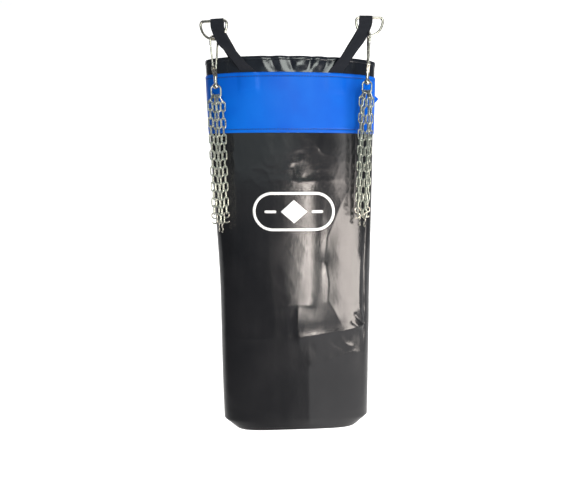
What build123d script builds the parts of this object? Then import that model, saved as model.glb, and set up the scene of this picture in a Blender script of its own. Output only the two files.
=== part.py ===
"""Unfilled heavy bag of sewn vinyl, hung from two webbing loops, with a four-strand chain set on each side.

Millimetres. +Z is up, the printed front faces -Y, and the origin is the centre of the bottom panel's underside.
"""

from build123d import *
import math
import os

# Bag shell, as it hangs empty and flattened.
HEIGHT = 1000.0
HALF_WIDTH = 212.0
TOP_HALF_DEPTH = 62.0
BOTTOM_HALF_DEPTH = 56.0
TOP_POWER = 2.0        # an ellipse at the mouth
BOTTOM_POWER = 2.9     # squarer at the bottom panel
VINYL = 1.4            # vinyl with its lining
LAYER_GAP = 0.2        # between sewn layers
WALL_TOP = 842.0
BAND_BOTTOM = 826.0
BAND_TOP = 964.0
BAND_THICKNESS = 2.8
BINDING_HEIGHT = 9.0
BOTTOM_HEM = 14.0
BOTTOM_THICKNESS = 2.5
COLLAR_SIDES = 96      # the collar's section has this many flats
SEAM_STRIP_WIDTH = 30.0
SEAM_STRIP_THICKNESS = 1.3
TAB_HEIGHT = 22.0
TAB_REACH = 10.0
TAB_Z = 913.0

# Printed emblem on the front.
EMBLEM_Z = 632.0
EMBLEM_WIDTH = 210.0
EMBLEM_HEIGHT = 100.0
EMBLEM_LINE = 7.0
LOZENGE_HALF = (34.0, 30.0)            # half width and half height
EMBLEM_BAR_X = 60.0
EMBLEM_BAR_LENGTH = 30.0
PRINT_THICKNESS = 0.4

# Webbing loops.
WEB_WIDTH = 36.0       # measured level, across the slanted webbing
WEB_ABOVE_RIM = 30.0   # level width above the rim, where the webbing is drawn in
WEB_THICKNESS = 1.6
FRONT_FOOT_X = 104.0
REAR_FOOT_X = 128.0
FOOT_DEPTH = 38.0      # how far the webbing runs down under the band
FOOT_SINK = 0.8        # stands off the curved shell so that the flat foot clears it

# D-rings and where they hang.
RING_X = 178.0
RING_Y = -72.0
RING_Z = {1: 1042.0, -1: 1030.0}       # centre of the ring's lowest wire, right and left
RING_TURN = {1: 0.0, -1: -12.0}        # about +Z
HOOK_TURN = {1: 90.0, -1: 45.0}        # about +Z, from the XZ plane
RING_WIRE = 3.0                        # radius
RING_HALF_WIDTH = 31.0
RING_CORNER = 7.0
BAR_HEIGHT = 38.0                      # straight bar above the lowest wire
WEB_ON_BAR = 9.0                       # webbing's centre, inboard of the ring's centre
WEB_BEND = (14.0, -9.0)                # front leg's bend: inboard of the bar, and above the lowest wire
REAR_BEND = (6.0, -1.0, 6.0)           # rear leg's bend: out from the foot, back from the rim, above the rim

# Snap hook.
HOOK_WIRE = 2.4
HOOK_HALF = 11.0
HOOK_TOP = 5.7
NOSE_END = -15.2
NECK_X = 1.4
NECK_Z = -68.0
SLEEVE_TOP = -80.0
SLEEVE_BOTTOM = -93.5
SLEEVE_RADIUS = 4.0
GATE_PIVOT = (-5.5, -63.0)
GATE_TIP = (-10.8, -17.0)
GATE_RADIUS = 2.1
EAR_RADIUS = 4.0
EAR_HALF = 3.2
SLOT_HALF = 1.45
SLOT_ROOM = 1.2        # the slot's depth beyond the ear
SLOT_HEIGHT = 16.0
HOOK_BENDS = [9.5, 9.5, 30.0]
PIN_HEAD_RADIUS = 1.9
PIN_HEAD_THICKNESS = 0.8
PIN_OVERHANG = 0.2     # how far the pin goes into each head
PIN_RADIUS = 1.2
RUNNING_GAP = 0.05

# Swivel eye.
SHANK_RADIUS = 1.9
HEAD_RADIUS = 2.8
HEAD_HEIGHT = 5.6
HEAD_ROOM = 0.3        # round the shank's head in the sleeve
HEAD_CENTRE = 5.9      # above the sleeve's mouth
CAVITY_CENTRE = 6.5
CAVITY_HEIGHT = 8.0
EYE_TOP = -94.0
EYE_HEIGHT = 13.0
EYE_RADIUS = 7.0
EYE_BORE = 3.4

# Connector link.
LINK_WIRE = 2.0
LINK_HALF_WIDTH = 11.0
LINK_HEIGHT = 25.0
LINK_CORNER = 7.0

# Chain.
CHAIN_WIRE = 1.75
CHAIN_HALF_WIDTH = 4.75
CHAIN_INNER = 19.0     # inside length of one link
CHAIN_PITCH = 18.85
CHAIN_SLACK = 0.15
SLANT_SLACK = 0.55     # between a slanted link and the next

# Each strand: its first link's seat on the connector, the side step of that slanted link and its play there,
# and the number of links.
STRANDS = {
    1: dict(seat=(-7.2, 3.16), step=(-7.4, -8.4), play=1.2, links=15),
    2: dict(seat=(-2.25, 2.0), step=(-2.6, 8.4), play=0.95, links=16),
    3: dict(seat=(2.25, 2.0), step=(2.6, -8.4), play=0.95, links=16),
    4: dict(seat=(7.2, 3.16), step=(7.4, 8.4), play=1.2, links=15),
}

# S-hooks.
S_WIRE = 1.75
S_RADIUS = 6.6

SIDES = {1: "right", -1: "left"}


# ---- the shell ----

def shape_at(z):
    """Half width, half depth and roundness of the shell's outer section at height z."""
    low = 1.0 - z / HEIGHT
    depth = TOP_HALF_DEPTH + (BOTTOM_HALF_DEPTH - TOP_HALF_DEPTH) * low
    power = TOP_POWER + (BOTTOM_POWER - TOP_POWER) * low
    return HALF_WIDTH, depth, power


def shell_point(z, angle, offset):
    """Point of the section at height z, moved out by offset along its normal."""
    width, depth, power = shape_at(z)
    cos, sin = math.cos(angle), math.sin(angle)
    x = width * math.copysign(abs(cos) ** (2 / power), cos)
    y = depth * math.copysign(abs(sin) ** (2 / power), sin)
    slope_x = math.copysign(abs(x / width) ** (power - 1) / width, x)
    slope_y = math.copysign(abs(y / depth) ** (power - 1) / depth, y)
    size = math.hypot(slope_x, slope_y)
    return x + offset * slope_x / size, y + offset * slope_y / size, z


def shell_section(z, offset, count=40):
    points = [shell_point(z, 2 * math.pi * (i + 0.5) / count, offset) for i in range(count)]
    return Face(Wire(Spline(*points, periodic=True)))


def shell_solid(low, high, offset):
    steps = max(1, round((high - low) / 250))
    levels = [low + (high - low) * i / steps for i in range(steps + 1)]
    return loft([shell_section(z, offset) for z in levels], ruled=True)


def faceted_section(z, offset):
    """The same section with flat sides, which mesh more truly than one long spline in a low thin ring."""
    points = [shell_point(z, 2 * math.pi * (i + 0.5) / COLLAR_SIDES, offset) for i in range(COLLAR_SIDES)]
    return make_face(Polyline(*points, close=True))


def shell_layer(low, high, inner, outer):
    """A closed band of the shell's shape between two offsets and two heights."""
    return shell_solid(low, high, outer) - shell_solid(low - 1, high + 1, inner)


def shell_depth(x, z):
    """Half depth of the outer section at x."""
    width, depth, power = shape_at(z)
    return depth * (1 - abs(x / width) ** power) ** (1 / power)


def shell_turn(x, z):
    """Angle in degrees between the front face at x and the X axis."""
    step = 1.0
    rise = shell_depth(x - step, z) - shell_depth(x + step, z)
    return math.degrees(math.atan2(rise, 2 * step))


def shell_wall():
    return shell_layer(0, WALL_TOP, -VINYL, 0)


def bottom_panel():
    gap = VINYL + LAYER_GAP
    outer = shell_solid(0, BOTTOM_HEM, -gap)
    return outer - shell_solid(BOTTOM_THICKNESS, BOTTOM_HEM + 1, -gap - VINYL)


def collar():
    low, high = WALL_TOP + 0.3, HEIGHT - 2
    outer = loft([faceted_section(z, 0) for z in (low, high)], ruled=True)
    return outer - loft([faceted_section(z, -VINYL) for z in (low - 1, high + 1)], ruled=True)


def rim_binding():
    outer = shell_layer(HEIGHT - BINDING_HEIGHT, HEIGHT, -2 * VINYL, VINYL)
    return outer - shell_layer(HEIGHT - BINDING_HEIGHT - 2, HEIGHT - 1.7, -VINYL - LAYER_GAP, LAYER_GAP)


def blue_band():
    band = shell_layer(BAND_BOTTOM, BAND_TOP, LAYER_GAP, LAYER_GAP + BAND_THICKNESS)
    for side in SIDES:
        for front in (1, -1):
            band -= strap_foot(side, front, LAYER_GAP)
    return band


def band_side_tab():
    """Loose pointed end of the band's side seam."""
    root = HALF_WIDTH + LAYER_GAP + BAND_THICKNESS + 0.1
    outline = Polyline((root, TAB_Z + TAB_HEIGHT / 2), (root, TAB_Z - TAB_HEIGHT / 2),
                       (root + TAB_REACH, TAB_Z), close=True)
    return extrude(Plane.XZ * make_face(outline), 1.0, both=True)


def back_seam_strip():
    layer = shell_layer(4, BAND_BOTTOM - 2, LAYER_GAP, LAYER_GAP + SEAM_STRIP_THICKNESS)
    middle = Pos(0, 100, HEIGHT / 2) * Box(SEAM_STRIP_WIDTH, 200, 2 * HEIGHT)
    return layer & middle


def emblem_print():
    """Plain oval ring around a lozenge with a bar on each side."""
    ring = SlotOverall(EMBLEM_WIDTH, EMBLEM_HEIGHT)
    ring -= SlotOverall(EMBLEM_WIDTH - 2 * EMBLEM_LINE, EMBLEM_HEIGHT - 2 * EMBLEM_LINE)
    half_width, half_height = LOZENGE_HALF
    lozenge = make_face(Polyline((-half_width, 0), (0, half_height), (half_width, 0), (0, -half_height), close=True))
    bars = [Pos(side * EMBLEM_BAR_X, 0) * RectangleRounded(EMBLEM_BAR_LENGTH, EMBLEM_LINE, 3) for side in SIDES]
    layer = shell_layer(EMBLEM_Z - EMBLEM_HEIGHT, EMBLEM_Z + EMBLEM_HEIGHT, LAYER_GAP, LAYER_GAP + PRINT_THICKNESS)
    place = Pos(0, 0, EMBLEM_Z) * Rot(90, 0, 0)
    blocks = [place * extrude(mark, 200) for mark in (ring, lozenge, *bars)]
    return [layer & block for block in blocks]


# ---- webbing loops and D-rings ----

def ring_place(side):
    return Pos(side * RING_X, RING_Y, RING_Z[side]) * Rot(0, 0, RING_TURN[side])


def d_ring(side):
    """D-shaped wire ring: straight bar above, half round below."""
    half, corner, bar = RING_HALF_WIDTH, RING_CORNER, BAR_HEIGHT
    shoulder = bar - corner
    inner = half - corner * (1 - math.sqrt(0.5))
    lift = bar - corner * (1 - math.sqrt(0.5))
    path = Wire([
        Line((-half + corner, 0, bar), (half - corner, 0, bar)),
        ThreePointArc((half - corner, 0, bar), (inner, 0, lift), (half, 0, shoulder)),
        ThreePointArc((half, 0, shoulder), (0, 0, shoulder - half), (-half, 0, shoulder)),
        ThreePointArc((-half, 0, shoulder), (-inner, 0, lift), (-half + corner, 0, bar)),
    ])
    return ring_place(side) * rod(path, RING_WIRE)


def web_section(place):
    return place * Rectangle(WEB_WIDTH if place.position.Z < HEIGHT else WEB_ABOVE_RIM, WEB_THICKNESS)


def foot_place(side, front, z):
    """Level frame at a webbing foot, on the shell's surface; front is 1 at the front and -1 at the rear."""
    x = FRONT_FOOT_X if front > 0 else REAR_FOOT_X
    turn = shell_turn(x, z)
    stand_off = LAYER_GAP + FOOT_SINK + WEB_THICKNESS / 2
    reach = shell_depth(x, z) + stand_off / math.cos(math.radians(turn))
    return Pos(side * x, -front * reach, z) * Rot(0, 0, side * front * turn)


def strap_foot(side, front, grow=0.0):
    """The flat end of the webbing, under the band."""
    low, high = BAND_TOP - FOOT_DEPTH - grow, BAND_TOP + 2
    size = Rectangle(WEB_WIDTH + 2 * grow, WEB_THICKNESS + 2 * grow)
    return loft([foot_place(side, front, z) * size for z in (low, high)], ruled=True)


def strap_loop(side):
    """One webbing: front foot, up over the ring's bar, and down to the rear foot."""
    ring = ring_place(side)
    around = RING_WIRE + 0.15 + WEB_THICKNESS / 2
    inboard = -side * WEB_ON_BAR
    bar_front = ring * Pos(inboard, -around, BAR_HEIGHT)
    bar_rear = ring * Pos(inboard, around, BAR_HEIGHT)
    bend_x, bend_z = WEB_BEND
    below_ring = ring * Pos(inboard - side * bend_x, -around, bend_z)
    front_foot = foot_place(side, 1, BAND_TOP + 2)
    rear_foot = foot_place(side, -1, BAND_TOP + 2)
    out, back, up = REAR_BEND
    rear_rim = Pos(side * (REAR_FOOT_X + out), -foot_place(side, 1, HEIGHT).position.Y + back, HEIGHT + up)
    front_leg = loft([web_section(p) for p in (front_foot, below_ring, bar_front)], ruled=True)
    rear_leg = loft([web_section(p) for p in (rear_foot, rear_rim, bar_rear)], ruled=True)
    half_ring = Circle(around + WEB_THICKNESS / 2) - Circle(around - WEB_THICKNESS / 2)
    half_ring &= Pos(0, BAR_HEIGHT) * Rectangle(2 * BAR_HEIGHT, 2 * BAR_HEIGHT)
    wrap = extrude(Plane.YZ * half_ring, WEB_ABOVE_RIM / 2, both=True)
    over_bar = ring * Pos(inboard, 0, BAR_HEIGHT) * wrap
    return strap_foot(side, 1) + front_leg + over_bar + rear_leg + strap_foot(side, -1)


# ---- wire parts ----

def rod(path, radius):
    """Round wire along a path of lines and arcs."""
    section = Plane(origin=path @ 0, z_dir=path % 0) * Circle(radius)
    return sweep(section, path=path)


def hook_place(side):
    return Pos(side * RING_X, RING_Y, RING_Z[side]) * Rot(0, 0, HOOK_TURN[side])


def level_place(side):
    """Frame of the parts below the swivel: square to the row, centred on the chain axis."""
    return Pos(side * RING_X, RING_Y, RING_Z[side])


def snap_hook_body(side):
    """Bent wire with a sleeve for the swivel and a slotted ear for the gate."""
    path = FilletPolyline((-HOOK_HALF, 0, NOSE_END), (-HOOK_HALF, 0, HOOK_TOP), (HOOK_HALF, 0, HOOK_TOP),
                          (NECK_X, 0, NECK_Z), (NECK_X, 0, SLEEVE_TOP - 1), radius=HOOK_BENDS)
    wire = rod(Wire(path.edges()), HOOK_WIRE)
    length = SLEEVE_TOP - SLEEVE_BOTTOM
    sleeve = Pos(0, 0, (SLEEVE_TOP + SLEEVE_BOTTOM) / 2) * Cylinder(SLEEVE_RADIUS, length)
    pivot_x, pivot_z = GATE_PIVOT
    across = Rot(90, 0, 0)
    ear = Pos(pivot_x, 0, pivot_z) * across * Cylinder(EAR_RADIUS, 2 * EAR_HALF)
    web = Polyline((pivot_x - EAR_RADIUS, pivot_z), (NECK_X, pivot_z), (SLEEVE_RADIUS - 0.5, SLEEVE_TOP - 1),
                   (-SLEEVE_RADIUS + 0.5, SLEEVE_TOP - 1), close=True)
    cheek = extrude(Plane.XZ * make_face(web), EAR_HALF, both=True)
    slot = Pos(pivot_x, 0, pivot_z) * across * Cylinder(EAR_RADIUS + SLOT_ROOM, 2 * SLOT_HALF)
    slot += Pos(pivot_x, 0, pivot_z + SLOT_HEIGHT / 2) * Box(2 * (EAR_RADIUS + SLOT_ROOM), 2 * SLOT_HALF, SLOT_HEIGHT)
    hole = Pos(pivot_x, 0, pivot_z) * across * Cylinder(PIN_RADIUS + 0.01, 3 * EAR_HALF)
    body = wire + (ear + cheek - slot - hole) + sleeve
    lip = Pos(0, 0, SLEEVE_BOTTOM) * Cylinder(SHANK_RADIUS + RUNNING_GAP, 8)
    cavity = Pos(0, 0, SLEEVE_BOTTOM + CAVITY_CENTRE) * Cylinder(HEAD_RADIUS + HEAD_ROOM, CAVITY_HEIGHT)
    return hook_place(side) * (body - lip - cavity)


def gate_pin(side):
    pivot_x, pivot_z = GATE_PIVOT
    pin = Rot(90, 0, 0) * Cylinder(PIN_RADIUS, 2 * (EAR_HALF + PIN_OVERHANG))
    stand = EAR_HALF + RUNNING_GAP + PIN_HEAD_THICKNESS / 2
    head = Rot(90, 0, 0) * Cylinder(PIN_HEAD_RADIUS, PIN_HEAD_THICKNESS)
    heads = [Pos(0, end * stand, 0) * head for end in (1, -1)]
    return hook_place(side) * Pos(pivot_x, 0, pivot_z) * (pin + heads[0] + heads[1])


def gate_lean():
    return math.degrees(math.atan2(GATE_PIVOT[0] - GATE_TIP[0], GATE_TIP[1] - GATE_PIVOT[1]))


def snap_gate(side):
    """Straight gate rod with a flat eye that turns on the pin."""
    reach = math.hypot(GATE_TIP[0] - GATE_PIVOT[0], GATE_TIP[1] - GATE_PIVOT[1])
    start = EAR_RADIUS + 1.0
    eye = Rot(90, 0, 0) * Cylinder(EAR_RADIUS - 0.2, 2 * SLOT_HALF - 0.5)
    tongue = Pos(0, 0, start / 2 + 1) * Box(3.6, 2 * SLOT_HALF - 0.5, start + 2)
    bar = Pos(0, 0, (start + reach) / 2) * Cylinder(GATE_RADIUS, reach - start)
    hole = Rot(90, 0, 0) * Cylinder(PIN_RADIUS + RUNNING_GAP, 10)
    gate = eye + tongue + bar - hole
    return hook_place(side) * Pos(GATE_PIVOT[0], 0, GATE_PIVOT[1]) * Rot(0, -gate_lean(), 0) * gate


def swivel_eye(side):
    """Rounded eye on a headed shank that turns in the hook's sleeve."""
    centre = EYE_TOP - EYE_HEIGHT / 2
    ball = Pos(0, 0, centre) * Sphere(EYE_RADIUS)
    ball &= Pos(0, 0, centre) * Box(20, 20, EYE_HEIGHT)
    shank_top = SLEEVE_BOTTOM + 4.5
    shank = Pos(0, 0, (shank_top + centre + 4) / 2) * Cylinder(SHANK_RADIUS, shank_top - centre - 4)
    head = Pos(0, 0, SLEEVE_BOTTOM + HEAD_CENTRE) * Cylinder(HEAD_RADIUS, HEAD_HEIGHT)
    bore = Pos(0, 0, centre) * Rot(0, 90, 0) * Cylinder(EYE_BORE, 30)
    return level_place(side) * (ball + shank + head - bore)


def link_top():
    return EYE_TOP - EYE_HEIGHT / 2 + 0.5


def link_bottom():
    return link_top() - LINK_HEIGHT


def connector_link(side):
    ring = RectangleRounded(2 * LINK_HALF_WIDTH, LINK_HEIGHT, LINK_CORNER)
    path = (Pos(0, 0, (link_top() + link_bottom()) / 2) * Rot(90, 0, 0) * ring).wire()
    return level_place(side) * rod(path, LINK_WIRE)


def chain_link():
    length = CHAIN_INNER + 2 * CHAIN_WIRE
    path = (Rot(90, 0, 0) * Rot(0, 0, 90) * SlotOverall(length, 2 * CHAIN_HALF_WIDTH)).wire()
    return rod(path, CHAIN_WIRE)


def strand_start(number):
    """Seat of the slanted first link, below the hook's bearing, and the direction it hangs in."""
    spec = STRANDS[number]
    seat = Vector(spec["seat"][0], 0, link_bottom() + spec["seat"][1])
    aside = Vector(*spec["step"], 0)
    down = aside - Vector(0, 0, math.sqrt(CHAIN_PITCH ** 2 - aside.length ** 2))
    return seat, down.normalized()


def hanging_centre(number, i):
    """Centre of the strand's hanging link i, below the hook's bearing."""
    seat, down = strand_start(number)
    bow = seat + down * (CHAIN_INNER - STRANDS[number]["play"] + CHAIN_WIRE)
    bearing = (Vector(0, 0, 1) - down).normalized() * (2 * CHAIN_WIRE + SLANT_SLACK)
    reach = CHAIN_INNER / 2 + CHAIN_WIRE
    return bow + bearing - Vector(0, 0, reach + (i - 1) * CHAIN_PITCH)


def chain_strand(side, number):
    """Links of one strand: a slanted one on the connector, then hanging ones, each turned a quarter."""
    spec = STRANDS[number]
    seat, down = strand_start(number)
    across = (Vector(0, 1, 0) - down * down.Y).normalized()
    first = Plane(origin=seat + down * (CHAIN_INNER / 2 - spec["play"]), x_dir=across, z_dir=-down)
    links = [first.location * chain_link()]
    for i in range(1, spec["links"]):
        links.append(Pos(*hanging_centre(number, i)) * Rot(0, 0, 90 * ((i + 1) % 2)) * chain_link())
    return [level_place(side) * link for link in links]


def strand_end(number):
    """Inside bottom of the last link, where the S-hook bears, below the hook's bearing."""
    return hanging_centre(number, STRANDS[number]["links"] - 1) - Vector(0, 0, CHAIN_INNER / 2)


def s_hook_faces_front(number):
    return STRANDS[number]["links"] % 2 == 1


def s_hook(side, number):
    """Open S of round wire, hung in the strand's last link."""
    radius = S_RADIUS
    upper = CenterArc((0, -radius), radius, -15, 285)
    lower = CenterArc((0, -3 * radius), radius, 90, -245)
    path = Wire([*(Plane.XZ * upper).edges(), *(Plane.XZ * lower).edges()])
    turn = 0 if s_hook_faces_front(number) else 90
    if number in (2, 4):
        turn += 180
    top = strand_end(number) + Vector(0, 0, S_WIRE + CHAIN_SLACK)
    return level_place(side) * Pos(*top) * Rot(0, 0, turn) * rod(path, S_WIRE)


# ---- all nodes ----

def build_nodes():
    nodes = {
        "shell_wall": shell_wall(),
        "bottom_panel": bottom_panel(),
        "collar": collar(),
        "rim_binding": rim_binding(),
        "blue_band": blue_band(),
        "band_side_tab": band_side_tab(),
        "back_seam_strip": back_seam_strip(),
        "emblem_print": emblem_print(),
    }
    for side, name in SIDES.items():
        nodes[f"strap_loop_{name}"] = strap_loop(side)
        nodes[f"d_ring_{name}"] = d_ring(side)
        nodes[f"snap_hook_body_{name}"] = snap_hook_body(side)
        nodes[f"gate_pin_{name}"] = gate_pin(side)
        nodes[f"snap_gate_{name}"] = snap_gate(side)
        nodes[f"swivel_eye_{name}"] = swivel_eye(side)
        nodes[f"connector_link_{name}"] = connector_link(side)
        for number in STRANDS:
            nodes[f"chain_strand_{name}_{number}"] = chain_strand(side, number)
            nodes[f"s_hook_{name}_{number}"] = s_hook(side, number)
    return nodes


def main():
    os.makedirs("parts", exist_ok=True)
    for name, shape in build_nodes().items():
        if isinstance(shape, list):
            shape = Compound([solid for piece in shape for solid in piece.solids()])
        export_step(shape, f"parts/{name}.step")


if __name__ == "__main__":
    main()
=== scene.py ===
"""Looks of the empty heavy bag with its two hanging chain sets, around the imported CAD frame.

Units are metres."""
import math

import bpy
import numpy as np
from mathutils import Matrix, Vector


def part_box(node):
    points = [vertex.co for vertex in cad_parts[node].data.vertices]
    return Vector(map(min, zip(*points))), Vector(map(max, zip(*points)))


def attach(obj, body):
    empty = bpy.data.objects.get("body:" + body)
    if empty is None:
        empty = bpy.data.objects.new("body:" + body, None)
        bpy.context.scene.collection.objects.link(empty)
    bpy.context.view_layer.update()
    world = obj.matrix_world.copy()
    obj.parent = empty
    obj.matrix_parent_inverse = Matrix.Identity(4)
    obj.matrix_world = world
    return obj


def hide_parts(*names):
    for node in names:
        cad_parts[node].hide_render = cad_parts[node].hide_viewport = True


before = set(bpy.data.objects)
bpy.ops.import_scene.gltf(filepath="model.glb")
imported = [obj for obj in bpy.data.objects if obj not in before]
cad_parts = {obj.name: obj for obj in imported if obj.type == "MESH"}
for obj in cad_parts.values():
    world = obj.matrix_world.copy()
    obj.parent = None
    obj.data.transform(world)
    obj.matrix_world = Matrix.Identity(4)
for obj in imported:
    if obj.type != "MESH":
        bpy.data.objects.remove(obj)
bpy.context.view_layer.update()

# ---- dimensions, the same as in part.py ----
HEIGHT = 1.000
HALF_WIDTH = 0.212
TOP_HALF_DEPTH = 0.062
BOTTOM_HALF_DEPTH = 0.056
TOP_POWER = 2.0
BOTTOM_POWER = 2.9
VINYL = 0.0014
WALL_TOP = 0.842
BAND_BOTTOM = 0.826
BAND_TOP = 0.964
BINDING_HEIGHT = 0.009
RING_X = 0.178
RING_Y = -0.072
RING_Z = {1: 1.042, -1: 1.030}
RING_TURN = {1: 0.0, -1: -12.0}
RING_WIRE = 0.003
BAR_HEIGHT = 0.038
WEB_ON_BAR = 0.009
WEB_WIDTH = 0.036
WEB_ABOVE_RIM = 0.030
WEB_THICKNESS = 0.0016
FRONT_FOOT_X = 0.104
REAR_FOOT_X = 0.128
FOOT_DEPTH = 0.038
EMBLEM_Z = 0.632
EMBLEM_WIDTH = 0.210
EMBLEM_HEIGHT = 0.100
EMBLEM_LINE = 0.007
LOZENGE_HALF = (0.034, 0.030)
EMBLEM_BAR_X = 0.060
EMBLEM_BAR_LENGTH = 0.030

# ---- how the visual sleeve differs from the CAD one ----
LEAN = 0.016              # the bottom hangs this far to the right of the mouth
WAIST = 0.008             # the left side is drawn in this far at mid height
FLAT_BOTTOM_POWER = 4.6   # the bottom third lies flatter than the CAD section
CORNER_WIDTH = 0.033      # the bottom corners are folded in this far
CORNER_HEIGHT = 0.029
FOLD_ROUND = 0.0011       # radius at the tip of a sharp fold
AROUND = 416              # mesh columns round the sleeve
SIDES = {1: "right", -1: "left"}
NORMAL_STEP = 1e-4
WALL_STEPS = 262          # mesh rows up the wall
COLLAR_STEPS = 56
BAND_STAND = 0.0024       # the band's outer face, off the vinyl under it
BAND_INNER = 0.0003
STITCH_INSET = 0.0085     # rows of stitches, in from the band's edges
FOOT_RISE = 0.0013        # how far a webbing foot lifts the band
INK_TOP = 0.00034
INK_SUNK = -0.00010
SEAM_HALF = 0.0150
FOOT_OFFSET = 0.0012      # middle of the webbing, off the vinyl

# ---- how much the sleeve's folds and dents stand out ----
FACET = 0.0030
BELLY = 0.0014
COLUMN = 0.0004
SHEET_WAVES = (0.00055, 0.00018)
CRUMPLES = (0.00045, 0.00018)
BAND_DENTS = (0.00060, 0.00022)
COLLAR_WAVES = 0.0007


# ---- small numeric helpers ----

def smooth(low, high, value):
    """Smooth step from 0 at low to 1 at high."""
    t = np.clip((value - low) / (high - low), 0.0, 1.0)
    return t * t * (3.0 - 2.0 * t)


def bell(value, centre, width):
    return np.exp(-((value - centre) / width) ** 2)


def ring_noise(turn, z, cells, cell_height, seed):
    """Smooth noise from -1 to 1 that closes round the sleeve; turn is the angle in radians."""
    table = np.random.default_rng(seed).uniform(-1.0, 1.0, (cells, 97))
    across = np.mod(turn / (2.0 * math.pi), 1.0) * cells
    up = z / cell_height + 11.0
    column, row = np.floor(across).astype(int), np.floor(up).astype(int)
    fx, fz = across - column, up - row
    fx = fx ** 3 * (fx * (6.0 * fx - 15.0) + 10.0)
    fz = fz ** 3 * (fz * (6.0 * fz - 15.0) + 10.0)

    def at(i, j):
        return table[np.mod(column + i, cells), np.mod(row + j, 97)]

    lower = at(0, 0) * (1 - fx) + at(1, 0) * fx
    upper = at(0, 1) * (1 - fx) + at(1, 1) * fx
    return lower * (1 - fz) + upper * fz


def fold_field(x, z, points, rise, above, below):
    """Height of a sharp fold along a polyline of (x, z).

    It fades over one distance above or left of the line, and over another below or right of it.
    A negative rise is a valley."""
    nearest = np.full(np.shape(x), 1e9)
    side = np.zeros(np.shape(x))
    along = np.zeros(np.shape(x))
    starts, ends = np.array(points[:-1], float), np.array(points[1:], float)
    lengths = np.linalg.norm(ends - starts, axis=1)
    total, done = lengths.sum(), 0.0
    for start, end, length in zip(starts, ends, lengths):
        way = (end - start) / length
        dx, dz = x - start[0], z - start[1]
        t = np.clip(dx * way[0] + dz * way[1], 0.0, length)
        away = np.hypot(dx - t * way[0], dz - t * way[1])
        nearer = away < nearest
        nearest = np.where(nearer, away, nearest)
        side = np.where(nearer, np.sign(way[0] * dz - way[1] * dx), side)
        along = np.where(nearer, (done + t) / total, along)
        done += length
    taper = 0.10 + 0.90 * smooth(0.0, 0.18, along) * smooth(0.0, 0.18, 1.0 - along)
    spread = np.where(side > 0, above, below)
    rounded = np.sqrt(nearest ** 2 + FOLD_ROUND ** 2) - FOLD_ROUND
    return rise * taper * np.exp(-rounded / spread)


# ---- the sleeve's visible surface ----

FRONT_FOLDS = [
    # the packing fold right across the lower third, stronger to the right
    dict(points=[(-0.207, 0.281), (-0.10, 0.283), (0.0, 0.286), (0.10, 0.299), (0.205, 0.313)],
         rise=0.0015, above=0.016, below=0.012),
    dict(points=[(-0.01, 0.285), (0.05, 0.291), (0.10, 0.299), (0.20, 0.312)],
         rise=0.0019, above=0.022, below=0.010),
    # the shorter folds between it and the emblem
    dict(points=[(-0.052, 0.377), (0.0, 0.380), (0.060, 0.379)], rise=0.0010, above=0.014, below=0.010),
    dict(points=[(0.010, 0.262), (0.005, 0.320), (0.008, 0.382)], rise=0.0012, above=0.006, below=0.016),
    # folds of the bottom right corner
    dict(points=[(0.034, 0.200), (0.10, 0.219), (0.160, 0.238), (0.200, 0.226)],
         rise=0.0014, above=0.012, below=0.009),
    dict(points=[(0.052, 0.281), (0.060, 0.240), (0.036, 0.200)], rise=0.0010, above=0.010, below=0.008),
    dict(points=[(0.095, 0.285), (0.110, 0.262), (0.132, 0.246)], rise=-0.0012, above=0.008, below=0.008),
    dict(points=[(0.120, 0.292), (0.138, 0.262), (0.165, 0.250)], rise=0.0011, above=0.008, below=0.008),
    # upright pleats along the right side, with the pucker where they meet the packing fold
    dict(points=[(0.188, 0.215), (0.192, 0.330), (0.187, 0.480), (0.191, 0.590), (0.186, 0.690)],
         rise=-0.0019, above=0.004, below=0.004),
    dict(points=[(0.178, 0.330), (0.176, 0.420), (0.180, 0.520)], rise=0.0010, above=0.006, below=0.004),
    dict(points=[(0.150, 0.330), (0.174, 0.312), (0.196, 0.310)], rise=0.0016, above=0.005, below=0.004),
    dict(points=[(0.160, 0.352), (0.180, 0.326), (0.196, 0.312)], rise=-0.0014, above=0.004, below=0.004),
    dict(points=[(0.172, 0.372), (0.186, 0.340), (0.196, 0.316)], rise=0.0012, above=0.004, below=0.004),
    # the fold and the V dent under the band
    dict(points=[(-0.060, 0.716), (-0.01, 0.709), (0.05, 0.707), (0.12, 0.713)],
         rise=0.0008, above=0.010, below=0.008),
    dict(points=[(-0.004, 0.752), (0.006, 0.728), (0.017, 0.705)], rise=-0.0012, above=0.010, below=0.006),
    dict(points=[(0.017, 0.705), (0.036, 0.722), (0.058, 0.748), (0.062, 0.800)],
         rise=-0.0010, above=0.007, below=0.012),
    # the folds that cut the left edge of the broad bright column
    dict(points=[(0.150, 0.700), (0.118, 0.640), (0.086, 0.565), (0.079, 0.505)],
         rise=0.0014, above=0.012, below=0.016),
    dict(points=[(0.079, 0.505), (0.092, 0.440), (0.088, 0.390), (0.112, 0.350), (0.128, 0.318)],
         rise=0.0013, above=0.011, below=0.014),
    # faint ones on the left half
    dict(points=[(-0.165, 0.690), (-0.158, 0.560), (-0.170, 0.430)], rise=0.0005, above=0.010, below=0.010),
    dict(points=[(-0.120, 0.205), (-0.070, 0.196), (-0.020, 0.204)], rise=0.0004, above=0.010, below=0.008),
]
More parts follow.
